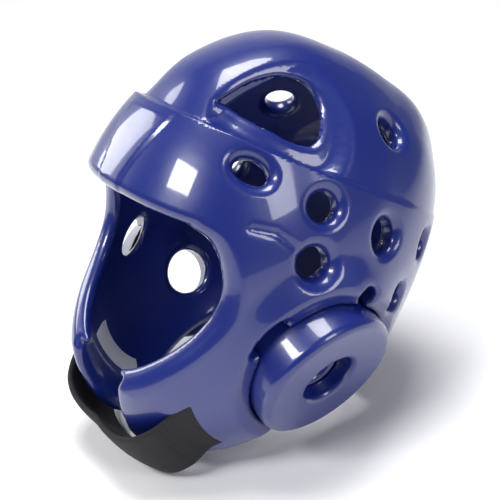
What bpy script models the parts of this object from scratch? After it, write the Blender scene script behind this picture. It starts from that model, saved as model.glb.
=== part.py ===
"""Padded martial-arts head guard: a thick foam shell with a raised forehead band, a crown ridge,
open vents, two round ear cups, a chin strap and a bare sewn-in label.

Sizes are in millimetres. Worn frame: origin on the line between the ears, X to the wearer's left,
Y to the back, Z up. The finished object is tipped back so that it stands on its strap and nape.
"""
import math

import bmesh
import bpy
import numpy as np
from mathutils import Matrix, Vector

MM = 0.001

# Overall form
CROWN_REACH = 156.0      # from the ear line to the top of the crown
HALF_WIDTH = 100.0       # half of the width over the temples
POLE_BLEND = 0.35        # share of the width over which the sections flow together beside the ears
WALL = 16.0              # foam thickness
REST_PITCH = 28.9        # degrees, tipped back as it stands
GAP = 0.3                # clearance between pieces that touch

# Forehead band and crown ridge
BAND_HEIGHT = 92.0       # top edge of the band above the ear line, at the front
BAND_FALL = 0.10         # how much the band's top edge falls for each millimetre it runs back
BAND_RISE = 5.5          # how far the band stands proud of the crown
BAND_RAMP = 7.0          # height of the slope between crown and band
RIDGE_RISE = 4.0         # how far the ridge stands proud of the crown
RIDGE_HALF = 34.0        # half of its width
BROW_HEIGHT = 35.5       # underside of the band above the ear line

# Ear cups
CUP_RADIUS = 47.0
CUP_HOLE = 17.5          # radius of the listening hole
CUP_DEPTH = 44.0         # from the face to behind the seat, before the base is cut to fit
CUP_EDGE = 6.0           # rounding of the outer edge
CUP_ACROSS = 0.955       # place of the face's centre, as a share of HALF_WIDTH
CUP_BACK = 0.058         # as a share of CROWN_REACH
CUP_UP = -0.218          # as a share of CROWN_REACH
CUP_TURN_BACK = 15.0     # degrees
CUP_TURN_DOWN = 21.0     # degrees
CUP_SEAT = 8.0           # how deep the cup is set into the wall
EAR_HOLE = 15.0          # radius of the hole through the wall behind it
COLLAR_RISE = 7.0        # how far the wall swells ahead of and above the cup

# Chin strap and label
STRAP_WIDTH = 42.0
STRAP_THICK = 4.0
STRAP_PROUD = 1.0        # how far the strap's ends stand out of their seat
STRAP_LOOSE = 12.0       # how much further it stands off the jaw where it hangs loosest
STRAP_SWEEP = 47.0       # degrees round each jaw from the middle
STRAP_FRONT = -53.0      # side angle of its front edge under the chin, degrees
STRAP_FRONT_END = -46.5  # side angle of its front edge at the ends, degrees
LABEL_WIDTH = 34.0
LABEL_LENGTH = 46.0
LABEL_THICK = 1.6
LABEL_SUNK = 0.8         # how deep it is pressed into the foam
LABEL_ANGLES = (-57.0, -36.0)    # side angle and turn of its centre, degrees

# Slots and vents, as sizes and as shares of the named sizes that they follow
VENT = 24.0              # long diameter of a full-size vent
SLOT_LENGTH = 30.0
SLOT_WIDTH = 9.0
JAW_GAP = 36.0           # between the jaw ends, at the bottom

# Side angle (degrees, 0 ahead, 90 up), reach and half width as shares, fullness of the section
SECTIONS = (
    (-60, 0.835, 0.900, 2.30),
    (-30, 0.810, 0.930, 2.30),
    (0, 0.790, 0.965, 2.45),
    (20, 0.824, 0.975, 2.50),
    (42, 0.908, 0.987, 2.30),
    (60, 0.978, 0.995, 2.10),
    (76, 1.010, 1.002, 2.12),
    (90, 0.972, 1.008, 2.15),
    (104, 0.962, 1.006, 2.13),
    (118, 0.976, 1.000, 2.10),
    (132, 0.927, 0.992, 2.04),
    (147, 0.822, 0.978, 1.96),
    (180, 0.675, 0.946, 1.95),
    (210, 0.671, 0.933, 2.10),
    (250, 0.722, 0.907, 2.30),
)

# Side outline of the cut below the shell and ahead of it: back and up as shares of CROWN_REACH
OPENING_EDGE = (
    (-0.630, None),      # brow line, at BROW_HEIGHT
    (-0.545, 0.190),
    (-0.480, 0.090),
    (-0.455, -0.020),
    (-0.480, -0.160),
    (-0.545, -0.330),
    (-0.600, -0.490),
)
RIM = (
    (-0.520, -0.830),
    (-0.380, -0.775),
    (-0.240, -0.725),
    (-0.135, -0.660),
    (0.010, -0.512),
    (0.156, -0.387),
    (0.300, -0.315),
    (0.460, -0.350),
    (0.680, -0.370),
)

# Front outline of the gap between cheeks and jaws: up as shares of CROWN_REACH, half width as shares of JAW_GAP
CHIN_GAP = (
    (-0.46, 0.80),
    (-0.60, 0.74),
    (-0.69, 0.58),
    (-0.90, 0.50),
)

# How the strap hangs: share of its sweep, share of its loosest stand-off
STRAP_HANG = (
    (0.00, 0.55),
    (0.25, 0.75),
    (0.50, 1.00),
    (0.70, 0.62),
    (0.86, 0.00),
    (1.20, 0.00),
)

# Vents: name, back and up as shares of CROWN_REACH, length and height as shares of VENT, lean in degrees
VENTS = (
    ("temple", -0.490, 0.481, 1.00, 0.72, -20),
    ("upper", -0.204, 0.427, 0.92, 0.88, 0),
    ("lower", -0.194, 0.219, 1.00, 0.92, 0),
    ("middle", 0.104, 0.376, 0.92, 1.00, 0),
    ("top", 0.134, 0.758, 1.00, 0.95, 0),
    ("small", 0.064, 0.146, 0.46, 0.50, 0),
    ("rear_low", 0.289, 0.138, 0.85, 0.80, 0),
    ("rear", 0.403, 0.357, 0.85, 0.90, 0),
)

# Crown vent, side view: back and up as shares of CROWN_REACH
CROWN_VENT = (
    (-0.545, 0.660),
    (-0.410, 0.630),
    (-0.270, 0.605),
    (-0.205, 0.640),
    (-0.190, 0.740),
    (-0.235, 0.815),
    (-0.330, 0.815),
    (-0.440, 0.760),
)
CROWN_VENT_INNER = 30.0  # the ridge is left whole inside this distance from the middle


def clear_scene():
    for obj in list(bpy.data.objects):
        bpy.data.objects.remove(obj, do_unlink=True)


def new_collection(name):
    collection = bpy.data.collections.new(name)
    bpy.context.scene.collection.children.link(collection)
    return collection


def new_object(name, vertices, faces, collection):
    mesh = bpy.data.meshes.new(name)
    mesh.from_pydata([tuple(v) for v in np.asarray(vertices) * MM], [], faces)
    mesh.update()
    obj = bpy.data.objects.new(name, mesh)
    collection.objects.link(obj)
    return obj


def recalculate(obj):
    work = bmesh.new()
    work.from_mesh(obj.data)
    bmesh.ops.recalc_face_normals(work, faces=work.faces)
    work.to_mesh(obj.data)
    work.free()


def material(name, colour, roughness, coat=0.0):
    made = bpy.data.materials.new(name)
    made.use_nodes = True
    shader = made.node_tree.nodes["Principled BSDF"]
    shader.inputs["Base Color"].default_value = (*colour, 1)
    shader.inputs["Roughness"].default_value = roughness
    shader.inputs["Metallic"].default_value = 0.0
    shader.inputs["Coat Weight"].default_value = coat
    return made


def periodic_spline(angles, values, at):
    """Closed natural-looking curve through the table: cubic pieces with central slopes, repeating each 360 degrees."""
    angles = np.concatenate([angles[-2:] - 360, angles, angles[:3] + 360])
    values = np.concatenate([values[-2:], values, values[:3]])
    slopes = np.gradient(values, angles)
    place = np.clip(np.searchsorted(angles, at, side="right") - 1, 0, len(angles) - 2)
    step = angles[place + 1] - angles[place]
    t = (at - angles[place]) / step
    first = (1 + 2 * t) * (1 - t) ** 2 * values[place] + t * (1 - t) ** 2 * step * slopes[place]
    return first + t**2 * (3 - 2 * t) * values[place + 1] + t**2 * (t - 1) * step * slopes[place + 1]


def smooth(t):
    t = np.clip(t, 0, 1)
    return t * t * (3 - 2 * t)


def band_top(back):
    """Height of the band's top edge above the ear line, at a place this far back."""
    return BAND_HEIGHT - BAND_FALL * (back + CROWN_REACH * 0.6)


def skin(side, turn, depth=0.0):
    """Point of the shell: side angle round the ear line and turn from the middle, both in degrees, and depth inwards."""
    table = np.array(SECTIONS, float)
    side, turn = np.broadcast_arrays(np.asarray(side, float), np.asarray(turn, float))
    at = (side + 60) % 360 - 60
    reach = CROWN_REACH * periodic_spline(table[:, 0], table[:, 1], at)
    width = HALF_WIDTH * periodic_spline(table[:, 0], table[:, 2], at)
    fullness = periodic_spline(table[:, 0], table[:, 3], at)
    s, c = np.sin(np.radians(turn)), np.cos(np.radians(turn))
    across, radius = np.abs(s) ** (2 / fullness), reach * np.abs(c) ** (2 / fullness)
    level = CUP_ACROSS * HALF_WIDTH
    width = level + (width - level) * smooth(radius / (POLE_BLEND * width * across + 1e-6))
    x = width * np.sign(s) * across
    y, z = -radius * np.cos(np.radians(side)), radius * np.sin(np.radians(side))
    point = np.stack([x, y, z], -1)
    below = smooth((band_top(y) - z) / BAND_RAMP + 0.5)
    ahead = smooth((CROWN_REACH * 0.1 - y) / (CROWN_REACH * 0.45))
    crown = (1 - below) * (z > 0)
    ridge = smooth(1.6 - np.abs(x) / RIDGE_HALF) * smooth((z - BAND_HEIGHT) / (CROWN_REACH * 0.2))
    back_of_cup, over_cup = y - CUP_BACK * CROWN_REACH, z - CUP_UP * CROWN_REACH
    near_cup = smooth((1.75 - np.hypot(back_of_cup, over_cup) / CUP_RADIUS) / 0.75)
    collar = near_cup * smooth(0.5 + (over_cup - back_of_cup) * 0.7 / (CUP_RADIUS * 2)) * (np.abs(x) > HALF_WIDTH * 0.5)
    lift = RIDGE_RISE * ridge - BAND_RISE * crown * ahead + COLLAR_RISE * collar - depth
    length = np.linalg.norm(point, axis=-1, keepdims=True)
    return point + point / length * lift[..., None]


def lofted(name, sides, turns, collection, depth=0.0):
    """Closed skin: two triangles between each pair of neighbours, and a fan round the pole beside each ear."""
    grid = skin(sides[:, None], turns[None], depth)
    rows, columns = grid.shape[:2]
    index = np.arange(rows * columns).reshape(rows, columns)
    ahead = np.roll(index, -1, axis=0)
    near, far = np.full(rows, rows * columns), np.full(rows, rows * columns + 1)
    corners = (index[:, :-1], index[:, 1:], ahead[:, 1:], ahead[:, :-1])
    faces = [np.stack([corners[k] for k in three], -1).reshape(-1, 3) for three in ((0, 1, 2), (0, 2, 3))]
    faces += [np.stack([index[:, 0], ahead[:, 0], near], -1), np.stack([ahead[:, -1], index[:, -1], far], -1)]
    vertices = np.concatenate([grid.reshape(-1, 3), skin(0, np.array([-90, 90]), depth)])
    obj = new_object(name, vertices, np.concatenate(faces).tolist(), collection)
    recalculate(obj)
    return obj


def prism(name, outline, axis, low, high, collection):
    """Straight prism on a flat outline: axis 0 runs along X on (y, z) points, axis 1 along Y on (x, z) points."""
    outline = np.asarray(outline, float)
    ends = [np.insert(outline, axis, level, axis=1) for level in (low, high)]
    count = len(outline)
    ring = np.arange(count)
    faces = [[i, (i + 1) % count, (i + 1) % count + count, i + count] for i in ring]
    faces += [ring.tolist(), (ring[::-1] + count).tolist()]
    obj = new_object(name, np.concatenate(ends), faces, collection)
    recalculate(obj)
    return obj


def smooth_line(points, steps):
    """Curve through the points: cubic pieces with central slopes, so many steps to each."""
    points = np.asarray(points, float)
    t = np.arange(len(points), dtype=float)
    fine = np.linspace(0, len(points) - 1, (len(points) - 1) * steps + 1)
    slopes = np.gradient(points, axis=0)
    place = np.clip(fine.astype(int), 0, len(points) - 2)
    u = (fine - t[place])[:, None]
    first = (1 + 2 * u) * (1 - u) ** 2 * points[place] + u * (1 - u) ** 2 * slopes[place]
    return first + u**2 * (3 - 2 * u) * points[place + 1] + u**2 * (u - 1) * slopes[place + 1]


def cut(obj, cutter, operation="DIFFERENCE"):
    modifier = obj.modifiers.new(cutter.name, "BOOLEAN")
    modifier.operation = operation
    modifier.solver = "EXACT"
    modifier.object = cutter
    cutter.hide_render = True
    cutter.display_type = "WIRE"


def side_frame(back, up, side=1):
    """Place on the outer skin seen from the side, its outward normal and the two directions along it."""
    angle = math.degrees(math.atan2(up, -back))
    radius = math.hypot(back, up)
    turns = np.linspace(0, 88, 353)
    points = skin(angle, turns)
    turn = turns[np.argmin(np.abs(np.hypot(points[:, 1], points[:, 2]) - radius))]
    around = skin(np.array([angle - 1, angle + 1, angle, angle]), np.array([turn, turn, turn - 1, turn + 1]))
    normal = np.cross(around[3] - around[2], around[1] - around[0])
    place = skin(angle, turn)
    normal *= np.sign(normal @ place) / np.linalg.norm(normal)
    flip = np.array([side, 1, 1])
    return place * flip, normal * flip


def elliptic_cutter(name, place, normal, long_radius, short_radius, lean, collection, sides=14):
    """Straight elliptic prism along the skin's normal, through the whole wall."""
    bpy.ops.mesh.primitive_cylinder_add(vertices=sides, radius=1, depth=1)
    obj = bpy.context.object
    obj.name = name
    for owner in list(obj.users_collection):
        owner.objects.unlink(obj)
    collection.objects.link(obj)
    axis = Vector(normal).normalized()
    back = (Vector((0, 1, 0)) - axis * axis.y).normalized()
    up = axis.cross(back)
    turned = Matrix.Rotation(math.radians(lean), 3, axis)
    columns = (turned @ back * long_radius, turned @ up * short_radius, axis * WALL * 3)
    size = Matrix([[column[row] * MM for column in columns] for row in range(3)]).to_4x4()
    obj.data.transform(Matrix.Translation(Vector(place) * MM) @ size)
    recalculate(obj)
    return obj


def turned(name, profile, collection, steps=36):
    """Profile of (radius, height) points spun about Z by a Screw modifier."""
    profile = np.asarray(profile, float)
    points = np.stack([profile[:, 0], 0 * profile[:, 0], profile[:, 1]], -1)
    edges = [(i, (i + 1) % len(points)) for i in range(len(points))]
    mesh = bpy.data.meshes.new(name)
    mesh.from_pydata([tuple(v) for v in points * MM], edges, [])
    obj = bpy.data.objects.new(name, mesh)
    collection.objects.link(obj)
    screw = obj.modifiers.new("turn", "SCREW")
    screw.steps = screw.render_steps = steps
    screw.use_merge_vertices = True
    screw.merge_threshold = 0.0001
    return obj


def cup_axis(side):
    back, down = math.radians(CUP_TURN_BACK), math.radians(CUP_TURN_DOWN)
    return Vector((side * math.cos(back) * math.cos(down), math.sin(back) * math.cos(down), -math.sin(down)))


def cup_centre(side):
    return Vector((side * CUP_ACROSS * HALF_WIDTH, CUP_BACK * CROWN_REACH, CUP_UP * CROWN_REACH))


def cup_place(side):
    """Frame of an ear cup: its local Z runs out through the face, whose centre is the origin."""
    turn = cup_axis(side).to_track_quat("Z", "Y").to_matrix().to_4x4()
    return Matrix.Translation(cup_centre(side) * MM) @ turn


def arc(centre, radius, first, last, steps):
    angles = np.radians(np.linspace(first, last, steps + 1))
    return np.stack([centre[0] + radius * np.cos(angles), centre[1] + radius * np.sin(angles)], -1)


def cup_profile():
    outer = arc((CUP_RADIUS - CUP_EDGE, -CUP_EDGE), CUP_EDGE, 90, 0, 3)
    lip = arc((CUP_HOLE + CUP_EDGE / 2, -CUP_EDGE / 2), CUP_EDGE / 2, 180, 90, 2)
    return np.concatenate([outer, [(CUP_RADIUS, -CUP_DEPTH), (CUP_HOLE, -CUP_DEPTH)], lip])


def strip(name, sides, turns, low, high, collection):
    """Closed band on the skin: sides is a (rows, columns) grid of side angles, low and high are heights above it."""
    rows, columns = sides.shape
    under, over = skin(sides, turns, -low), skin(sides, turns, -high)
    index = np.arange(rows * columns).reshape(rows, columns)
    flat = np.stack([index[:-1, :-1], index[:-1, 1:], index[1:, 1:], index[1:, :-1]], -1).reshape(-1, 4)
    border = np.concatenate([index[0, :-1], index[:-1, -1], index[-1, :0:-1], index[:0:-1, 0]])
    after = np.roll(border, -1)
    count = rows * columns
    wall = np.stack([border, after, after + count, border + count], -1)
    faces = np.concatenate([flat, flat[:, ::-1] + count, wall]).tolist()
    obj = new_object(name, np.concatenate([under.reshape(-1, 3), over.reshape(-1, 3)]), faces, collection)
    recalculate(obj)
    return obj


def strap_grid(margin, sweep):
    """Side angles and turns of the strap: its front edge leads, and its width is measured along the skin."""
    turns = np.linspace(-sweep, sweep, 21)
    front = STRAP_FRONT + (STRAP_FRONT_END - STRAP_FRONT) * (turns / STRAP_SWEEP) ** 2
    reach = np.linalg.norm(skin(front, turns)[:, 1:], axis=-1)
    degrees = np.degrees((STRAP_WIDTH + 2 * margin) / reach)
    start = front + np.degrees(margin / reach)
    sides = start[:, None] - degrees[:, None] * np.linspace(0, 1, 5)[None]
    return sides, np.broadcast_to(turns[:, None], sides.shape)


def strap_lift(turns):
    """How far the strap's outer face stands off the skin at each turn."""
    table = np.array(STRAP_HANG)
    share = np.interp(np.abs(turns) / STRAP_SWEEP, table[:, 0], table[:, 1])
    return STRAP_PROUD + STRAP_LOOSE * smooth(share)


def round_cutter(name, radius, side, cutters):
    """Cylinder on a cup's axis, long enough for the whole wall."""
    reach = CUP_DEPTH * 1.5
    made = turned(name, [(radius, CUP_DEPTH), (radius, -reach), (0, -reach), (0, CUP_DEPTH)], cutters)
    made.matrix_world = cup_place(side)
    return made


def make_shell(parts, cutters, seat_floor):
    share = CROWN_REACH
    sides = np.concatenate([np.arange(-72, 35, 9.0), np.arange(38, 64, 3.5), np.arange(68, 284, 9.0)])
    turns = np.linspace(-84, 84, 31)
    shell = lofted("shell", sides, turns, parts)
    wall = shell.modifiers.new("foam", "SOLIDIFY")
    wall.thickness = WALL * MM
    wall.offset = -1

    face = [(share * back, BROW_HEIGHT if up is None else share * up) for back, up in OPENING_EDGE]
    rim = [(share * back, share * up) for back, up in RIM]
    beyond = 2 * share
    cheek = smooth_line(face, 3)
    hem = smooth_line(rim, 3)
    outline = np.concatenate([[(-beyond, BROW_HEIGHT)], cheek, hem, [(beyond, hem[-1, 1]), (beyond, -beyond), (-beyond, -beyond)]])
    cut(shell, prism("face_and_neck", outline, 0, -beyond, beyond, cutters))

    half = [(JAW_GAP * width, share * up) for up, width in CHIN_GAP]
    gap = half + [(-x, z) for x, z in reversed(half)]
    cut(shell, prism("chin_gap", gap, 1, -beyond, -share * 0.05, cutters))

    for side, tag in ((1, "left"), (-1, "right")):
        for name, back, up, length, height, lean in VENTS:
            place, normal = side_frame(share * back, share * up, side)
            radii = (VENT * length / 2, VENT * height / 2)
            cut(shell, elliptic_cutter(f"{name}_{tag}", place, normal, *radii, side * lean, cutters))
        vent = smooth_line([(share * back, share * up) for back, up in CROWN_VENT + CROWN_VENT[:1]], 2)[:-1]
        ends = sorted((side * CROWN_VENT_INNER, side * HALF_WIDTH * 1.5))
        cut(shell, prism(f"crown_{tag}", vent, 0, *ends, cutters))
        well = round_cutter(f"ear_well_{tag}", CUP_RADIUS + GAP, side, cutters)
        cut(well, seat_floor)
        cut(shell, well)
        cut(shell, round_cutter(f"ear_hole_{tag}", EAR_HOLE, side, cutters))
        axis = cup_axis(side)
        ahead = Vector((0, -math.cos(math.radians(20)), math.sin(math.radians(20))))
        across = (ahead - axis * ahead.dot(axis)).normalized()
        centre = cup_centre(side) + across * (CUP_RADIUS + SLOT_WIDTH * 0.45)
        upright = axis.cross(across)
        lean = -side * math.degrees(math.atan2(across.z, -across.y))
        cut(shell, elliptic_cutter(f"slot_{tag}", centre, axis, SLOT_WIDTH / 2 + 2, SLOT_LENGTH / 2, lean, cutters))
    sides_grid, turns_grid = strap_grid(0.6, STRAP_SWEEP + 0.5)
    seat = strap_lift(turns_grid) - STRAP_THICK - GAP
    cut(shell, strip("strap_seat", sides_grid, turns_grid, seat, WALL + STRAP_LOOSE, cutters))
    sides_grid, turns_grid = label_grid(0.6)
    cut(shell, strip("label_seat", sides_grid, turns_grid, -2 * WALL, LABEL_SUNK - WALL + GAP, cutters))
    shell.data.materials.append(material("blue_vinyl", (0.012, 0.035, 0.30), 0.18, 0.6))
    return shell


def make_cup(side, parts, cup_base):
    tag = "left" if side > 0 else "right"
    cup = turned(f"ear_cup_{tag}", cup_profile(), parts)
    cup.matrix_world = cup_place(side)
    cut(cup, cup_base)
    cup.data.materials.append(material(f"blue_vinyl_cup_{tag}", (0.012, 0.035, 0.30), 0.18, 0.6))
    return cup


def make_strap(parts):
    sides, turns = strap_grid(0.0, STRAP_SWEEP)
    lift = strap_lift(turns)
    strap = strip("chin_strap", sides, turns, lift - STRAP_THICK, lift, parts)
    strap.data.materials.append(material("black_webbing", (0.01, 0.01, 0.012), 0.8))
    return strap


def label_grid(margin):
    """Side angles and turns of the label, grown by a margin all round."""
    side, turn = LABEL_ANGLES
    reach = np.linalg.norm(skin(side, turn, WALL)[1:])
    length = np.degrees((LABEL_LENGTH + 2 * margin) / reach)
    width = np.degrees((LABEL_WIDTH + 2 * margin) / HALF_WIDTH)
    along = np.linspace(-0.5, 0.5, 4)
    return side + length * along[:, None] + np.zeros((1, 4)), turn + width * along[None] + np.zeros((4, 1))


def make_label(parts):
    sides, turns = label_grid(0.0)
    label = strip("label", sides, turns, LABEL_SUNK - WALL - LABEL_THICK, LABEL_SUNK - WALL, parts)
    label.data.materials.append(material("grey_label", (0.45, 0.45, 0.5), 0.6))
    return label


def stand(parts, cutters):
    """Tips everything back by the rest pitch, then lifts it so that the lowest point is at zero and the middle is at the origin."""
    holder = bpy.data.objects.new("worn_frame", None)
    parts.objects.link(holder)
    holder.rotation_euler = (math.radians(-REST_PITCH), 0, 0)
    for obj in list(parts.objects) + list(cutters.objects):
        if obj is not holder:
            obj.parent = holder
    bpy.context.view_layer.update()
    graph = bpy.context.evaluated_depsgraph_get()
    low, high = np.full(3, np.inf), np.full(3, -np.inf)
    for obj in parts.objects:
        if obj.type != "MESH":
            continue
        evaluated = obj.evaluated_get(graph)
        mesh = evaluated.to_mesh()
        points = np.empty(len(mesh.vertices) * 3, np.float32)
        mesh.vertices.foreach_get("co", points)
        world = np.array(evaluated.matrix_world)
        points = points.reshape(-1, 3) @ world[:3, :3].T + world[:3, 3]
        evaluated.to_mesh_clear()
        low, high = np.minimum(low, points.min(0)), np.maximum(high, points.max(0))
    holder.location = (0, -(low[1] + high[1]) / 2, -low[2])


def main():
    clear_scene()
    parts, cutters = new_collection("head_guard"), new_collection("cutters")
    base_sides, base_turns = np.arange(-72, 284, 12.0), np.linspace(-84, 84, 25)
    seat_floor = lofted("seat_floor", base_sides, base_turns, cutters, CUP_SEAT + GAP)
    cup_base = lofted("cup_base", base_sides, base_turns, cutters, CUP_SEAT)
    make_shell(parts, cutters, seat_floor)
    for side in (1, -1):
        make_cup(side, parts, cup_base)
    make_strap(parts)
    make_label(parts)
    stand(parts, cutters)


main()
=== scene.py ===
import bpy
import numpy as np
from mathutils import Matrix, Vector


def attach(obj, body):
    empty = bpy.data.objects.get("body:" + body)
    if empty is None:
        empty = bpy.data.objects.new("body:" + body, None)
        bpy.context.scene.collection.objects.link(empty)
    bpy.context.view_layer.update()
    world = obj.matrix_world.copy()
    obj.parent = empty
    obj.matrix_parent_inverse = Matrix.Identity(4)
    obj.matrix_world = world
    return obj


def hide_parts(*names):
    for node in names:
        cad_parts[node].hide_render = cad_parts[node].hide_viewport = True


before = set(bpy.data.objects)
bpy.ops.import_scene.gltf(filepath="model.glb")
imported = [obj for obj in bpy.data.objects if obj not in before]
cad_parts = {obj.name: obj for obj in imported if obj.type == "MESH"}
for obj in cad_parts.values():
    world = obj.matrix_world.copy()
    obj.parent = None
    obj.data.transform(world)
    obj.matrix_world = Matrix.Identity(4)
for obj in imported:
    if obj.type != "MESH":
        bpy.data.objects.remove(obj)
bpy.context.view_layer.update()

# %% [markdown]
# A head guard for sparring is one thick shell of closed-cell foam. It is moulded, its vents are punched,
# and the whole of it is dipped in liquid vinyl, which leaves a glossy skin and fat, rounded lips at each
# opening. Two round ear cups and a black elastic chin strap go with it.
#
# Everything is worked out in millimetres in the frame of the worn guard: origin on the line between the
# ears, X to the wearer's left, Y to the back, Z up. The last step tips it back as it stands.

REST_PITCH = 28.9
REST_SHIFT = np.array((0.0, -5.85, 92.70))

# %% [markdown]
# The sizes below are those of the solid part, so that both keep the same outline. The table has one row
# for each section: the side angle round the ear line (0 is ahead, 90 is up), how far the section reaches,
# its half width, and how full it is. A fullness of 2 is an ellipse, and more is squarer.

# %% Sizes
CROWN_REACH, HALF_WIDTH, WALL = 156.0, 100.0, 16.0
BAND_HEIGHT, BAND_FALL, BAND_RISE, BAND_RAMP = 92.0, 0.10, 5.5, 5.0
RIDGE_RISE, RIDGE_HALF = 4.0, 34.0
BROW_HEIGHT = 35.5
CUP_RADIUS, CUP_HOLE, CUP_SEAT, EAR_HOLE, COLLAR_RISE = 47.0, 17.5, 8.0, 15.0, 7.0
CUP_CENTRE = np.array((0.955 * HALF_WIDTH, 0.058 * CROWN_REACH, -0.218 * CROWN_REACH))
CUP_TURN_BACK, CUP_TURN_DOWN = 15.0, 21.0
STRAP_WIDTH, STRAP_THICK, STRAP_PROUD, STRAP_LOOSE, STRAP_SWEEP = 42.0, 4.0, 1.0, 12.0, 47.0
STRAP_FRONT, STRAP_FRONT_END = -53.0, -46.5
LABEL_WIDTH, LABEL_LENGTH, LABEL_THICK, LABEL_SUNK, LABEL_ANGLES = 34.0, 46.0, 1.6, 0.8, (-57.0, -36.0)
VENT, SLOT_LENGTH, SLOT_WIDTH, JAW_GAP = 24.0, 30.0, 9.0, 36.0

SECTIONS = np.array((
    (-60, 0.835, 0.900, 2.30), (-30, 0.810, 0.930, 2.30), (0, 0.790, 0.965, 2.45), (20, 0.824, 0.975, 2.50),
    (42, 0.908, 0.987, 2.30), (60, 0.978, 0.995, 2.10), (76, 1.010, 1.002, 2.12), (90, 0.972, 1.008, 2.15),
    (104, 0.962, 1.006, 2.13), (118, 0.976, 1.000, 2.10), (132, 0.927, 0.992, 2.04), (147, 0.822, 0.978, 1.96),
    (180, 0.675, 0.946, 1.95), (210, 0.671, 0.933, 2.10), (250, 0.722, 0.907, 2.30)), float)

OPENING_EDGE = ((-0.630, BROW_HEIGHT / CROWN_REACH), (-0.545, 0.190), (-0.480, 0.090), (-0.455, -0.020),
                (-0.480, -0.160), (-0.545, -0.330), (-0.600, -0.490))
RIM = ((-0.520, -0.830), (-0.380, -0.775), (-0.240, -0.725), (-0.135, -0.660), (0.010, -0.512),
       (0.156, -0.387), (0.300, -0.315), (0.460, -0.350), (0.680, -0.370))
CHIN_GAP = ((-0.46, 0.80), (-0.60, 0.74), (-0.69, 0.58), (-0.90, 0.50))
CROWN_VENT = ((-0.545, 0.660), (-0.410, 0.630), (-0.270, 0.605), (-0.205, 0.640), (-0.190, 0.740),
              (-0.235, 0.815), (-0.330, 0.815), (-0.440, 0.760))
CROWN_VENT_INNER = 30.0

# %% [markdown]
# The bare form is a ring of superellipses that share the line between the ears. For any point in space the
# section's table gives a number that is 1 on the skin and grows in proportion along every ray from the
# origin. Turned round, it gives the point of the skin in any direction. Two lookups of the same formula
# serve everything else: a point of the skin from two angles, and how far a point in space is off the skin.

# %% The skin as a formula
FINE = np.arange(-60.0, 300.1, 0.25)


def periodic_spline(angles, values, at):
    """Closed cubic curve through a table: Hermite pieces with central slopes, repeating each 360 degrees."""
    angles = np.concatenate([angles[-2:] - 360, angles, angles[:3] + 360])
    values = np.concatenate([values[-2:], values, values[:3]])
    slopes = np.gradient(values, angles)
    place = np.clip(np.searchsorted(angles, at, side="right") - 1, 0, len(angles) - 2)
    step = angles[place + 1] - angles[place]
    t = (at - angles[place]) / step
    first = (1 + 2 * t) * (1 - t) ** 2 * values[place] + t * (1 - t) ** 2 * step * slopes[place]
    return first + t**2 * (3 - 2 * t) * values[place + 1] + t**2 * (t - 1) * step * slopes[place + 1]


FINE_TABLE = [scale * periodic_spline(SECTIONS[:, 0], SECTIONS[:, column], FINE)
              for column, scale in ((1, CROWN_REACH), (2, HALF_WIDTH), (3, 1.0))]


def smooth(t):
    """Rises from 0 to 1 as t does, level at both ends: t squared times 3 less 2 t."""
    t = np.clip(t, 0, 1)
    return t * t * (3 - 2 * t)


def section(side):
    """Reach, half width and fullness at a side angle, from the table."""
    at = (side + 60) % 360 - 60
    return [np.interp(at, FINE, column) for column in FINE_TABLE]


def bare_skin(side, turn):
    """Point of the bare form: x is the width times the turn's sine to 2/n, the radius is the reach times its cosine to 2/n."""
    side, turn = np.broadcast_arrays(np.asarray(side, float), np.asarray(turn, float))
    reach, width, full = section(side)
    s, c = np.sin(np.radians(turn)), np.cos(np.radians(turn))
    x = width * np.sign(s) * np.abs(s) ** (2 / full)
    radius = reach * np.abs(c) ** (2 / full)
    return np.stack([x, -radius * np.cos(np.radians(side)), radius * np.sin(np.radians(side))], -1)


def stretch(points):
    """How many times further out than the bare form a point lies, along its own ray: (|x/w|^n + |rho/r|^n)^(1/n)."""
    side = np.degrees(np.arctan2(points[:, 2], -points[:, 1]))
    reach, width, full = section(side)
    rho = np.hypot(points[:, 1], points[:, 2])
    level = 0.955 * HALF_WIDTH
    width = level + (width - level) * smooth(rho / (0.35 * np.abs(points[:, 0]) + 1e-6))
    return (np.abs(points[:, 0] / width) ** full + (rho / reach) ** full) ** (1 / full)


test = bare_skin(np.array((0.0, 70.0, 200.0)), np.array((20.0, -40.0, 60.0)))
print("points of the skin, all at stretch 1:", stretch(test).round(6))

# %% [markdown]
# What stands proud of the bare form or is pressed into it is a height along the ray, worked out at the
# skin: the forehead band with its step, the ridge down the middle of the crown, the flanks that slope into
# the crown vents, the moat round each ear cup, and the shallow lines that the mould leaves.

# %% Heights on the skin
def outline_distance(points, outline):
    """Signed distance from points in a plane to a closed outline of straight pieces, below zero inside it."""
    a, b = outline, np.roll(outline, -1, axis=0)
    best = np.full(len(points), 1e9)
    inside = np.zeros(len(points), bool)
    for start, end in zip(a, b):
        along = end - start
        offset = points - start
        t = np.clip(offset @ along / (along @ along), 0, 1)
        best = np.minimum(best, np.hypot(*(offset - t[:, None] * along).T))
        crosses = (start[1] > points[:, 1]) != (end[1] > points[:, 1])
        level = start[0] + (points[:, 1] - start[1]) * along[0] / np.where(along[1] == 0, 1e-9, along[1])
        inside ^= crosses & (points[:, 0] < level)
    return np.where(inside, -best, best)


def smooth_line(points, steps):
    """Curve through points: Hermite pieces with central slopes, so many steps to each."""
    points = np.asarray(points, float)
    fine = np.linspace(0, len(points) - 1, (len(points) - 1) * steps + 1)
    slopes = np.gradient(points, axis=0)
    place = np.clip(fine.astype(int), 0, len(points) - 2)
    u = (fine - place)[:, None]
    first = (1 + 2 * u) * (1 - u) ** 2 * points[place] + u * (1 - u) ** 2 * slopes[place]
    return first + u**2 * (3 - 2 * u) * points[place + 1] + u**2 * (u - 1) * slopes[place + 1]


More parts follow.
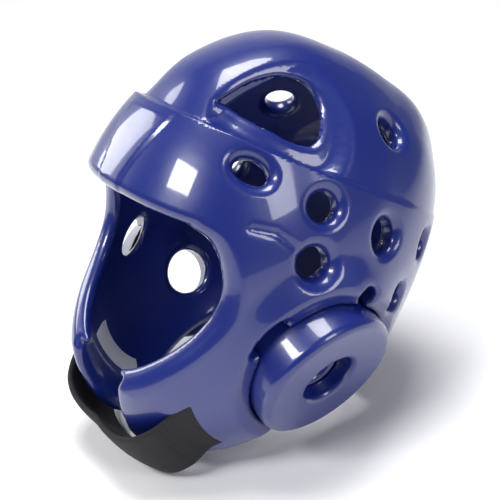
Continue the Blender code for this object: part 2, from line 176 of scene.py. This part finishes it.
def line_distance(points, line):
    """Distance from points to an open line of straight pieces."""
    best = np.full(len(points), 1e9)
    for start, end in zip(line[:-1], line[1:]):
        along = end - start
        offset = points - start
        t = np.clip(offset @ along / (along @ along), 0, 1)
        best = np.minimum(best, np.linalg.norm(offset - t[:, None] * along, axis=1))
    return best


def cup_axis(side=1):
    back, down = np.radians(CUP_TURN_BACK), np.radians(CUP_TURN_DOWN)
    return np.array((side * np.cos(back) * np.cos(down), np.sin(back) * np.cos(down), -np.sin(down)))


VENT_OUTLINE = smooth_line(np.array(CROWN_VENT + CROWN_VENT[:1]) * CROWN_REACH, 4)[:-1]
CREASE = np.array(((25, -101, 96), (17, -114, 66), (12, -121, 37)), float)
CHEEK_CREASE = np.array(((83, -72, 45), (88, -59, 46), (92, -46, 41), (94, -38, 34)), float)


def heights(skin_points):
    """Height of the finished skin over the bare form at each of its points, in millimetres."""
    x, y, z = np.abs(skin_points[:, 0]), skin_points[:, 1], skin_points[:, 2]
    mirrored = np.stack([x, y, z], -1)
    top = BAND_HEIGHT - BAND_FALL * (y + CROWN_REACH * 0.6)
    above = smooth((z - top) / BAND_RAMP + 0.5) * (z > 0)
    ahead = 0.22 + 0.78 * smooth((CROWN_REACH * 0.1 - y) / (CROWN_REACH * 0.45))
    ridge = smooth(1.6 - x / RIDGE_HALF) * smooth((z - BAND_HEIGHT) / (CROWN_REACH * 0.2))
    lift = RIDGE_RISE * ridge - BAND_RISE * above * ahead
    hole = outline_distance(skin_points[:, 1:], VENT_OUTLINE)
    rim = np.maximum(hole, 0) + np.maximum(CROWN_VENT_INNER + 8 - x, 0)
    lift -= 7.0 * smooth(1 - rim / 17.0) * smooth((z - top) / 6.0)
    axis = cup_axis()
    offset = mirrored - CUP_CENTRE
    off_axis = np.linalg.norm(offset - (offset @ axis)[:, None] * axis, axis=1)
    back_of_cup, over_cup = y - CUP_CENTRE[1], z - CUP_CENTRE[2]
    near_cup = smooth((1.75 - np.hypot(back_of_cup, over_cup) / CUP_RADIUS) / 0.75) * (x > HALF_WIDTH * 0.5)
    lift += COLLAR_RISE * near_cup * smooth(0.5 + (over_cup - back_of_cup) * 0.7 / (CUP_RADIUS * 2))
    lift -= 4.0 * smooth(1 - np.maximum(off_axis - CUP_RADIUS, 0) / 10.0)
    lift += 1.3 * smooth((CREASE[0, 0] - 13.0 * smooth((96 - z) / 60) - x) / 4.0 + 0.5) * smooth((top - 3 - z) / 6) * (y < -60)
    lift -= 1.2 * np.exp(-(line_distance(mirrored, CHEEK_CREASE) / 2.6) ** 2)
    return lift


# %% [markdown]
# A distance is wanted, not a height along a ray, so that a wall is as thick and a lip as round everywhere.
# On the bare form the one is the other times the cosine between the ray and the skin's normal. That cosine
# depends on direction alone, so it is tabled once and looked up.

# %% From height along the ray to distance
SIDES, LIFTS = np.arange(-60.0, 300.1, 2.0), np.linspace(0, 90, 91)


def cosine_table():
    """Cosine between ray and normal on the bare form, for side angles and for angles off the middle plane."""
    side, off = np.meshgrid(np.radians(SIDES), np.radians(LIFTS), indexing="ij")
    ray = np.stack([np.sin(off), -np.cos(off) * np.cos(side), np.cos(off) * np.sin(side)], -1).reshape(-1, 3)
    on_skin = ray / stretch(ray)[:, None]
    slope = np.stack([stretch(on_skin + step) - stretch(on_skin - step) for step in 0.5 * np.eye(3)], -1)
    cosine = 1 / (np.linalg.norm(slope, axis=1) * np.linalg.norm(on_skin, axis=1))
    return np.clip(cosine, 0.5, 1).reshape(side.shape)


COSINES = cosine_table()


def look_up(points):
    side = np.degrees(np.arctan2(points[:, 2], -points[:, 1]))
    off = np.degrees(np.arctan2(np.abs(points[:, 0]), np.hypot(points[:, 1], points[:, 2])))
    a = ((side + 60) % 360) / 2.0
    b = np.clip(off, 0, 89.999)
    i, j = np.clip(a.astype(int), 0, len(SIDES) - 2), b.astype(int)
    u, v = a - i, b - j
    low = COSINES[i, j] * (1 - v) + COSINES[i, j + 1] * v
    high = COSINES[i + 1, j] * (1 - v) + COSINES[i + 1, j + 1] * v
    return low * (1 - u) + high * u


def bare_distance(points):
    """Distance off the bare form."""
    return np.linalg.norm(points, axis=1) * (1 - 1 / stretch(points)) * look_up(points)


def skin_distance(points):
    """Distances off the finished outer skin and off the smooth inner skin, above zero outside each."""
    size = np.linalg.norm(points, axis=1)
    factor = stretch(points)
    on_skin = points / factor[:, None]
    cosine = look_up(points)
    bare = size * (1 - 1 / factor) * cosine
    return bare - heights(on_skin) * cosine, bare + WALL


print("cosine table from", COSINES.min().round(3), "to", COSINES.max().round(3))

# %% [markdown]
# Each opening is a solid that is taken away. The face opening and the neck are one outline seen from the
# side, the chin gap an outline seen from the front, the vents tapering oval plugs along the skin's normal.
# Taking away with a round of a given radius is what makes the fat lips: near the edge the two distances
# are joined as the legs of a right angle, so the surface turns on a circle.

# %% Openings
VENTS = (  # back and up as shares of the reach, half length and half height inside, lean, radius of the lip
    (-0.490, 0.481, 10.5, 6.6, -22, 7.0), (-0.204, 0.427, 9.0, 8.6, 0, 6.0), (-0.194, 0.219, 10.0, 9.2, 0, 6.0),
    (0.104, 0.376, 9.0, 10.0, 0, 5.5), (0.134, 0.758, 9.6, 9.2, 0, 6.0), (0.064, 0.146, 4.4, 4.8, 0, 3.5),
    (0.289, 0.138, 8.4, 7.8, 0, 5.0), (0.403, 0.357, 8.2, 8.8, 0, 5.0))


def round_away(solid, hole, radius):
    """Takes a hole out of a solid, both given as distances, and rounds the edge between them on a circle."""
    a, b = solid, -hole
    return np.minimum(np.maximum(a, b), -radius) + np.hypot(np.maximum(a + radius, 0), np.maximum(b + radius, 0))


def ellipse_distance(u, v, a, b):
    """Distance to an ellipse, near enough for a plug: k (k - 1) over the length of k's slope."""
    k = np.hypot(u / a, v / b)
    return k * (k - 1) / np.maximum(np.hypot(u / a**2, v / b**2), 1e-6)


def skin_frame(back, up):
    """Place on the outer skin seen from the side, its outward normal, and the two directions along it."""
    angle = np.degrees(np.arctan2(up, -back))
    turns = np.linspace(0, 88, 881)
    points = bare_skin(angle, turns)
    turn = turns[np.argmin(np.abs(np.hypot(points[:, 1], points[:, 2]) - np.hypot(back, up)))]
    place = bare_skin(angle, turn)
    slope = np.array([stretch((place + step)[None])[0] - stretch((place - step)[None])[0] for step in np.eye(3)])
    normal = slope / np.linalg.norm(slope)
    along = np.array((0, 1.0, 0)) - normal * normal[1]
    along /= np.linalg.norm(along)
    return place, normal, along, np.cross(normal, along)


VENT_FRAMES = [(*skin_frame(CROWN_REACH * back, CROWN_REACH * up), a, b, np.radians(lean), lip)
               for back, up, a, b, lean, lip in VENTS]
FAR = 2 * CROWN_REACH
CHEEK, HEM = smooth_line(np.array(OPENING_EDGE) * CROWN_REACH, 6), smooth_line(np.array(RIM) * CROWN_REACH, 6)
SIDE_OUTLINE = np.concatenate([[(-FAR, BROW_HEIGHT)], CHEEK, HEM, [(FAR, HEM[-1, 1]), (FAR, -FAR), (-FAR, -FAR)]])
HALF_GAP = smooth_line([(JAW_GAP * width, CROWN_REACH * up) for up, width in CHIN_GAP], 5)
FRONT_OUTLINE = np.concatenate([HALF_GAP, HALF_GAP[::-1] * (-1, 1)])
SLOT_AHEAD = np.array((0, -np.cos(np.radians(20)), np.sin(np.radians(20))))


def strap_lift(turns):
    """How far the strap's outer face stands off the skin at each turn: it hangs loosest half-way to the jaw."""
    share = np.interp(np.abs(turns) / STRAP_SWEEP, (0, 0.25, 0.50, 0.70, 0.86, 1.2), (0.55, 0.75, 1, 0.62, 0, 0))
    return STRAP_PROUD + STRAP_LOOSE * smooth(share)


def openings(points, wall):
    """The wall with every opening taken away, each with its own round of the lip."""
    x, mirrored = np.abs(points[:, 0]), points.copy()
    mirrored[:, 0] = x
    value = round_away(wall, outline_distance(points[:, 1:], SIDE_OUTLINE), 7.2)
    front = np.maximum(outline_distance(points[:, [0, 2]], FRONT_OUTLINE), points[:, 1] + CROWN_REACH * 0.05)
    value = round_away(value, front, 7.0)
    crown = np.maximum(outline_distance(points[:, 1:], VENT_OUTLINE), CROWN_VENT_INNER - x)
    value = round_away(value, crown, 4.0)
    axis = cup_axis()
    offset = mirrored - CUP_CENTRE
    off_axis = np.linalg.norm(offset - (offset @ axis)[:, None] * axis, axis=1)
    well = np.maximum(off_axis - CUP_RADIUS - 0.3, -CUP_SEAT - 0.3 - bare_distance(mirrored))
    value = round_away(value, well, 2.5)
    value = round_away(value, off_axis - EAR_HOLE, 5.0)
    for place, normal, along, across, a, b, lean, lip in VENT_FRAMES:
        offset = mirrored - place
        near = np.linalg.norm(offset, axis=1) < 45
        o = offset[near]
        h, u, v = o @ normal, o @ along, o @ across
        u, v = u * np.cos(lean) + v * np.sin(lean), v * np.cos(lean) - u * np.sin(lean)
        grow = 1 + 0.28 * smooth((h + WALL * 0.6) / WALL)
        value[near] = round_away(value[near], ellipse_distance(u, v, a * grow, b * grow), lip)
    across = SLOT_AHEAD - axis * (SLOT_AHEAD @ axis)
    across /= np.linalg.norm(across)
    o = mirrored - CUP_CENTRE - across * (CUP_RADIUS + SLOT_WIDTH * 0.45)
    slot = ellipse_distance(o @ across, o @ np.cross(axis, across), SLOT_WIDTH / 2 + 1.0, SLOT_LENGTH / 2)
    return round_away(value, slot, 2.5)


def shell_field(points):
    """Signed distance to the finished shell, in millimetres: the wall between both skins, less its openings."""
    outer, inner = skin_distance(points)
    value = np.maximum(outer, -inner)
    near = value < 12
    value[near] = openings(points[near], value[near])
    return value


# %% [markdown]
# The surface is then drawn where the field is zero. One point goes into each cell of a grid that the level
# crosses, and each crossed grid edge joins its four cells by a quad. The points are pulled onto the exact
# level along the field's slope, and that slope is kept as the normal, so a highlight runs as smoothly over
# the vinyl as on the real one.

# %% Surface of a field
def surface_net(field, low, high, step):
    """Closed quads on the zero level of a field, from a grid with cells of one size."""
    axes = [np.arange(a, b + step, step) for a, b in zip(low, high)]
    value = np.empty([len(axis) for axis in axes], np.float32)
    yz = np.stack(np.meshgrid(axes[1], axes[2], indexing="ij"), -1).reshape(-1, 2)
    for first in range(0, len(axes[0]), 12):
        xs = axes[0][first:first + 12]
        block = np.concatenate([np.repeat(xs, len(yz))[:, None], np.tile(yz, (len(xs), 1))], 1)
        value[first:first + 12] = field(block).reshape(len(xs), len(axes[1]), len(axes[2]))
    inside = value < 0
    shape = np.array(value.shape) - 1
    corners = [(i, j, k) for i in (0, 1) for j in (0, 1) for k in (0, 1)]
    count = sum(inside[i:i + shape[0], j:j + shape[1], k:k + shape[2]].astype(np.int8) for i, j, k in corners)
    cells = np.stack(np.nonzero((count > 0) & (count < 8)), -1)
    index = np.full(shape, -1, np.int64)
    index[tuple(cells.T)] = np.arange(len(cells))
    total, hits = np.zeros((len(cells), 3)), np.zeros(len(cells))
    for a in corners:
        for axis in range(3):
            if a[axis]:
                continue
            b = np.array(a)
            b[axis] = 1
            here, there = value[tuple((cells + a).T)], value[tuple((cells + b).T)]
            crossed = (here < 0) != (there < 0)
            t = np.where(crossed, here / np.where(crossed, here - there, 1), 0)
            total += crossed[:, None] * (np.array(a) + t[:, None] * (b - np.array(a)))
            hits += crossed
    vertices = np.array(low) + step * (cells + total / hits[:, None])
    quads = []
    for axis in range(3):
        one, two = [k for k in range(3) if k != axis]
        low_end = [slice(None)] * 3
        high_end = [slice(None)] * 3
        low_end[axis], high_end[axis] = slice(None, -1), slice(1, None)
        a, b = inside[tuple(low_end)], inside[tuple(high_end)]
        at = np.stack(np.nonzero(a != b), -1)
        at = at[(at[:, one] > 0) & (at[:, two] > 0) & (at[:, one] < shape[one]) & (at[:, two] < shape[two])]
        ring = []
        for back_one, back_two in ((0, 0), (1, 0), (1, 1), (0, 1)):
            cell = at.copy()
            cell[:, one] -= back_one
            cell[:, two] -= back_two
            ring.append(index[tuple(cell.T)])
        ring = np.stack(ring, -1)
        turned = a[tuple(at.T)] == (axis == 1)
        ring[turned] = ring[turned][:, ::-1]
        quads.append(ring)
    return vertices, np.concatenate(quads)


def slope(field, points, step=0.35):
    """Slope of a field by central differences."""
    return np.stack([field(points + d) - field(points - d) for d in step * np.eye(3)], -1) / (2 * step)


def settle(field, vertices, quads, rounds=3):
    """Evens the points out over their neighbours, then pulls them back onto the zero level, and returns the normals."""
    edges = np.concatenate([quads[:, [k, (k + 1) % 4]] for k in range(4)])
    share = np.bincount(edges.ravel(), minlength=len(vertices))[:, None]
    normals = None
    for turn in range(rounds):
        if turn < rounds - 1:
            middle = np.stack([np.bincount(edges.ravel(), weights=vertices[edges[:, ::-1].ravel(), k],
                                           minlength=len(vertices)) for k in range(3)], -1) / share
            vertices = vertices + 0.5 * (middle - vertices)
        normals = slope(field, vertices)
        length = np.linalg.norm(normals, axis=1, keepdims=True)
        pull = np.clip(field(vertices)[:, None] / np.maximum(length, 0.4), -1.5, 1.5)
        vertices = vertices - pull * normals / np.maximum(length, 1e-6)
    normals = slope(field, vertices)
    return vertices, normals / np.linalg.norm(normals, axis=1, keepdims=True)


def to_rest(points, shift=True):
    """From the worn frame in millimetres to the standing frame in metres, or directions with no shift."""
    a = np.radians(-REST_PITCH)
    turn = np.array(((1, 0, 0), (0, np.cos(a), -np.sin(a)), (0, np.sin(a), np.cos(a))))
    turned = np.asarray(points, float) @ turn.T
    return (turned + REST_SHIFT) / 1000 if shift else turned


def new_piece(name, vertices, faces, material, node, normals=None):
    """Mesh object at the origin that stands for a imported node, smooth-shaded, with given normals if there are any."""
    mesh = bpy.data.meshes.new(name)
    vertices = np.asarray(vertices, np.float32)
    faces = np.asarray(faces, np.int32)
    size = faces.shape[1]
    mesh.vertices.add(len(vertices))
    mesh.vertices.foreach_set("co", vertices.ravel())
    mesh.loops.add(faces.size)
    mesh.loops.foreach_set("vertex_index", faces.ravel())
    mesh.polygons.add(len(faces))
    mesh.polygons.foreach_set("loop_start", np.arange(0, faces.size, size, dtype=np.int32))
    mesh.update(calc_edges=True)
    mesh.validate()
    mesh.polygons.foreach_set("use_smooth", np.ones(len(mesh.polygons), bool))
    if normals is not None and len(mesh.vertices) == len(normals):
        mesh.normals_split_custom_set_from_vertices(np.asarray(normals, np.float32).tolist())
    mesh.materials.append(material)
    obj = bpy.data.objects.new(name, mesh)
    bpy.context.scene.collection.objects.link(obj)
    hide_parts(node)
    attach(obj, "root")
    print(name, len(vertices), "vertices,", len(faces) * (size - 2), "triangles")
    return obj


# %% [markdown]
# A material is built from a few operators, so that a pattern reads as a formula. One small class wraps a
# shader socket and gives it the signs of arithmetic.

# %% Shader helpers
class Value:
    """A shader socket that can be added, multiplied and so on, each sign making one Math node."""

    def __init__(self, tree, socket):
        self.tree, self.socket = tree, socket

    def math(self, operation, *others):
        node = self.tree.nodes.new("ShaderNodeMath")
        node.operation = operation
        for place, item in zip(node.inputs, (self, *others)):
            if isinstance(item, Value):
                self.tree.links.new(item.socket, place)
            else:
                place.default_value = item
        return Value(self.tree, node.outputs[0])

    def __add__(self, other):
        return self.math("ADD", other)

    __radd__ = __add__

    def __mul__(self, other):
        return self.math("MULTIPLY", other)

    __rmul__ = __mul__

    def __sub__(self, other):
        return self.math("SUBTRACT", other)

    def __rsub__(self, other):
        return (self * -1.0) + other

    def __pow__(self, other):
        return self.math("POWER", other)

    def clamp(self):
        return self.math("MINIMUM", 1.0).math("MAXIMUM", 0.0)


class Shader:
    """A material with its Principled shader, and one method that makes any other node."""

    def __init__(self, name, **constants):
        self.material = bpy.data.materials.new(name)
        self.material.use_nodes = True
        self.tree = self.material.node_tree
        self.principled = self.tree.nodes["Principled BSDF"]
        for key, value in constants.items():
            self.principled.inputs[key.replace("_", " ")].default_value = value
        self.where = self.node("ShaderNodeTexCoord").outputs["Object"]

    def node(self, kind, settings=None, **inputs):
        made = self.tree.nodes.new(kind)
        for key, value in (settings or {}).items():
            setattr(made, key, value)
        for key, value in inputs.items():
            place = made.inputs[key.replace("_", " ")]
            if isinstance(value, Value):
                self.tree.links.new(value.socket, place)
            elif isinstance(value, bpy.types.NodeSocket):
                self.tree.links.new(value, place)
            else:
                place.default_value = value
        return made

    def noise(self, scale, detail=2.0, rough=0.5):
        made = self.node("ShaderNodeTexNoise", Vector=self.where, Scale=scale, Detail=detail, Roughness=rough)
        return Value(self.tree, made.outputs["Fac"])

    def mix(self, factor, a, b):
        made = self.node("ShaderNodeMix", {"data_type": "RGBA"})
        for place, value in zip((made.inputs[0], made.inputs[6], made.inputs[7]), (factor, a, b)):
            if isinstance(value, (Value, bpy.types.NodeSocket)):
                self.tree.links.new(value.socket if isinstance(value, Value) else value, place)
            else:
                place.default_value = value
        return made.outputs[2]

    def feed(self, **links):
        for key, value in links.items():
            socket = value.socket if isinstance(value, Value) else value
            self.tree.links.new(socket, self.principled.inputs[key.replace("_", " ")])

    def bump(self, height, distance, strength=1.0):
        made = self.node("ShaderNodeBump", Strength=strength, Distance=distance, Height=height)
        self.feed(Normal=made.outputs["Normal"])


# %% [markdown]
# Dipped vinyl is a clear-looking, deep blue skin with a gloss that is not quite a mirror: broad highlights
# stay soft at their edge. It is never quite level, as the foam beneath shows through as a faint swell.

# %% Blue dipped vinyl
def vinyl(name):
    shader = Shader(name, Specular_IOR_Level=0.5, Coat_Roughness=0.06, Coat_IOR=1.5)
    cloud = shader.noise(22.0, 2.0)
    fine = shader.noise(420.0, 1.0)
    colour = shader.mix(cloud, (0.0045, 0.014, 0.15, 1), (0.006, 0.018, 0.18, 1))
    shader.feed(Base_Color=colour, Roughness=0.30 + fine * 0.08, Coat_Weight=0.75 + cloud * 0.2)
    swell = shader.noise(60.0, 1.0) * 0.0004 + fine * 0.00003
    shader.bump(swell, 1.0, 0.5)
    return shader.material


VINYL_SHELL, VINYL_CUP = vinyl("dipped_vinyl"), vinyl("dipped_vinyl_cup")

# %% Shell
step = 2.05
vertices, quads = surface_net(shell_field, (-108, -136, -138), (108, 120, 164), step)
vertices, normals = settle(shell_field, vertices, quads)
shell = new_piece("padded_shell", to_rest(vertices), quads, VINYL_SHELL, "shell",
                  to_rest(normals, False))

# %% [markdown]
# An ear cup is a round of the same foam, set into a shallow well in the side of the shell. Its face is flat,
# with a listening hole in the middle, and its base is cut to the curve of the well's floor.

# %% Ear cups
def cup_field(points):
    """Signed distance to the left cup: a round about its axis, less the hole and what lies below its seat."""
    axis = cup_axis()
    offset = points - CUP_CENTRE
    h = offset @ axis
    r = np.linalg.norm(offset - h[:, None] * axis, axis=1)
    disc = round_away(h, CUP_RADIUS - 0.2 - r, 5.5)
    value = round_away(disc, r - CUP_HOLE, 4.0)
    return round_away(value, bare_distance(points) + CUP_SEAT, 1.5)


axis, reach = cup_axis(), 66.0
low, high = CUP_CENTRE - axis * 22 - reach, CUP_CENTRE - axis * 22 + reach
vertices, quads = surface_net(cup_field, low, high, 1.3)
vertices, normals = settle(cup_field, vertices, quads)
for side, tag in ((1, "left"), (-1, "right")):
    flip = np.array((side, 1, 1))
    new_piece(f"ear_pad_{tag}", to_rest(vertices * flip), quads[:, ::side], VINYL_CUP, f"ear_cup_{tag}",
              to_rest(normals * flip, False))

# %% [markdown]
# The chin strap is one closed band of black webbing. Its ends lie pressed on the jaws, and its middle hangs
# clear below the gap between them. It is a strip on the skin: rows along it, columns across it.

# %% Chin strap
def finished_skin(side, turn, height):
    """Point at a height over the bare form, along its ray, as the solid part's strap is laid."""
    point = bare_skin(side, turn)
    return point + point / np.linalg.norm(point, axis=-1, keepdims=True) * np.asarray(height)[..., None]


def strap_place(s, t, h):
    turn = s * STRAP_SWEEP
    front = STRAP_FRONT + (STRAP_FRONT_END - STRAP_FRONT) * s**2
    reach = np.linalg.norm(bare_skin(front, turn)[..., 1:], axis=-1)
    side = front - np.degrees(STRAP_WIDTH / reach) * (t + 1) / 2
    return finished_skin(side, turn, strap_lift(turn) - STRAP_THICK / 2 + h * STRAP_THICK / 2)


webbing = Shader("black_webbing", Roughness=0.75, Specular_IOR_Level=0.35)
weave = webbing.node("ShaderNodeTexWave", {"wave_type": "BANDS", "bands_direction": "X"}, Vector=webbing.where, Scale=380.0, Distortion=0.6)
fuzz = webbing.noise(900.0, 2.0)
webbing.feed(Base_Color=webbing.mix(fuzz, (0.006, 0.006, 0.008, 1), (0.022, 0.022, 0.027, 1)))
webbing.bump(Value(webbing.tree, weave.outputs["Fac"]) * 0.0003 + fuzz * 0.0002, 1.0, 0.6)


def slab(place, along, across):
    """Closed slab from place(s, t, h), all shares from -1 to 1: a top, a bottom and a wall round their border."""
    s, t = np.meshgrid(np.linspace(-1, 1, along), np.linspace(-1, 1, across), indexing="ij")
    edge = np.minimum(1 - np.abs(t), 1 - np.abs(s)) * across / 2
    lip = np.sqrt(np.clip(1 - (1 - np.clip(edge / 1.5, 0, 1)) ** 2, 0.12, 1))
    top, bottom = place(s, t, lip), place(s, t, -lip)
    count = along * across
    index = np.arange(count).reshape(along, across)
    flat = np.stack([index[:-1, :-1], index[:-1, 1:], index[1:, 1:], index[1:, :-1]], -1).reshape(-1, 4)
    border = np.concatenate([index[0, :-1], index[:-1, -1], index[-1, :0:-1], index[:0:-1, 0]])
    after = np.roll(border, -1)
    wall = np.stack([border, after, after + count, border + count], -1)
    vertices = np.concatenate([top.reshape(-1, 3), bottom.reshape(-1, 3)])
    return vertices, np.concatenate([flat[:, ::-1], flat + count, wall])


def outward(vertices, quads):
    """Turns every face round if the closed mesh holds less than nothing."""
    a, b, c, d = (vertices[quads[:, k]] for k in range(4))
    volume = np.einsum("ij,ij->i", a, np.cross(b, c)).sum() + np.einsum("ij,ij->i", a, np.cross(c, d)).sum()
    return quads if volume > 0 else quads[:, ::-1]


vertices, quads = slab(strap_place, 121, 31)
strap = new_piece("strap_webbing", to_rest(vertices), outward(vertices, quads), webbing.material, "chin_strap")

# %% [markdown]
# A satin label is sewn inside the right cheek. It could be a flat card, but a card would cut into the
# curved wall, so it is a thin slab that follows the inner skin: each of its points is a place on the skin,
# lowered by the wall's thickness. Fine noise stands for the weave, and the cloth is left bare.

# %% Label
def label_place(s, t, h):
    side, turn = LABEL_ANGLES
    reach = np.linalg.norm(bare_skin(side, turn)[1:]) * (1 - WALL / np.linalg.norm(bare_skin(side, turn)))
    length, width = np.degrees(LABEL_LENGTH / reach), np.degrees(LABEL_WIDTH / HALF_WIDTH)
    height = LABEL_SUNK - WALL - LABEL_THICK / 2 + h * LABEL_THICK / 2
    return finished_skin(side + s * length / 2, turn + t * width / 2, height)


cloth = Shader("label_cloth", Roughness=0.55, Specular_IOR_Level=0.4)
thread = cloth.noise(1200.0, 2.0)
cloth.feed(Base_Color=cloth.mix(thread, (0.62, 0.63, 0.68, 1), (0.80, 0.81, 0.86, 1)))
cloth.bump(thread, 0.0002, 0.5)
vertices, quads = slab(label_place, 31, 23)
label = new_piece("label_cloth", to_rest(vertices), outward(vertices, quads), cloth.material, "label")

# %% [markdown]
# Glossy vinyl shows what stands round it. In a wide white room the blue would turn pale all over, so the
# backdrop is a small pale sweep behind the guard, the surroundings are dim, and four soft boxes give the
# bright patches. The camera stands at the photo's angle and is aimed by three directions of its own.

# %% Studio
def plain_material(name, colour, roughness):
    shader = Shader(name, Roughness=roughness)
    cloud = shader.noise(3.0, 2.0)
    shader.feed(Base_Color=shader.mix(cloud, colour, tuple(min(1, c * 1.02) for c in colour)))
    return shader.material


def sweep(width=5.0, ahead=1.2, back=2.6, rise=2.6, radius=1.0):
    """Floor that turns up into a backdrop behind, on a quarter circle."""
    angle = np.linspace(0, np.pi / 2, 17)
    y = np.concatenate([[-ahead], back - radius + radius * np.sin(angle), [back]])
    z = np.concatenate([[0], radius - radius * np.cos(angle), [rise]])
    x = np.array((-width / 2, width / 2))
    vertices = np.stack([np.tile(x, len(y)), np.repeat(y, 2), np.repeat(z, 2)], -1)
    k = np.arange(len(y) - 1) * 2
    return vertices, np.stack([k, k + 1, k + 3, k + 2], -1)


def area_light(name, place, target, size, power, colour=(1, 1, 1)):
    light = bpy.data.lights.new(name, "AREA")
    light.shape, light.size, light.size_y, light.energy, light.color = "RECTANGLE", size[0], size[1], power, colour
    obj = bpy.data.objects.new(name, light)
    obj.location = place
    obj.rotation_euler = (Vector(target) - Vector(place)).to_track_quat("-Z", "Y").to_euler()
    bpy.context.scene.collection.objects.link(obj)
    return obj


CAMERA_PLACE = np.array((560.7, -432.9, 139.1))
CAMERA_RIGHT = np.array((0.532, 0.789, 0.309))
CAMERA_UP = np.array((-0.322, -0.150, 0.935))
place = to_rest(CAMERA_PLACE)
right, up = to_rest(CAMERA_RIGHT, False), to_rest(CAMERA_UP, False)
toward = np.cross(right, up)
toward /= np.linalg.norm(toward)
up = np.cross(toward, right)
camera = bpy.data.objects.new("camera", bpy.data.cameras.new("camera"))
camera.matrix_world = Matrix([[right[k], up[k], toward[k], place[k]] for k in range(3)] + [[0, 0, 0, 1]])
camera.data.sensor_width, camera.data.lens = 36.0, 36.0 * 1101.6 / 500
camera.data.clip_end = 50
bpy.context.scene.collection.objects.link(camera)
bpy.context.scene.camera = camera

vertices, quads = sweep()
floor_mesh = bpy.data.meshes.new("floor")
ahead = np.array((-toward[0], -toward[1])) / np.hypot(toward[0], toward[1])
turned = np.stack([vertices[:, 0] * ahead[1] + vertices[:, 1] * ahead[0],
                   -vertices[:, 0] * ahead[0] + vertices[:, 1] * ahead[1], vertices[:, 2]], -1)
floor_mesh.from_pydata(turned.tolist(), [], quads.tolist())
floor_mesh.materials.append(plain_material("pale_floor", (0.86, 0.86, 0.87, 1), 0.7))
floor = bpy.data.objects.new("floor", floor_mesh)
bpy.context.scene.collection.objects.link(floor)

centre = (0, 0, 0.12)
area_light("key", (0.3, -1.6, 1.9), centre, (1.0, 0.5), 38)
area_light("top", (-0.2, 0.2, 2.1), centre, (1.0, 1.0), 40)
area_light("side", (1.9, 0.5, 1.1), centre, (0.6, 1.0), 14)
area_light("far", (-1.7, -0.7, 0.9), centre, (0.5, 1.0), 10)
world = bpy.data.worlds.new("studio")
world.use_nodes = True
world.node_tree.nodes["Background"].inputs[0].default_value = (0.9, 0.92, 1.0, 1)
world.node_tree.nodes["Background"].inputs[1].default_value = 0.12
bpy.context.scene.world = world
bpy.context.scene.view_settings.view_transform = "Standard"
print("camera, metres:", [round(float(v), 4) for v in place])

# %% [markdown]
# At the end the view layer is brought up to date.

# %% Finish
bpy.context.view_layer.update()
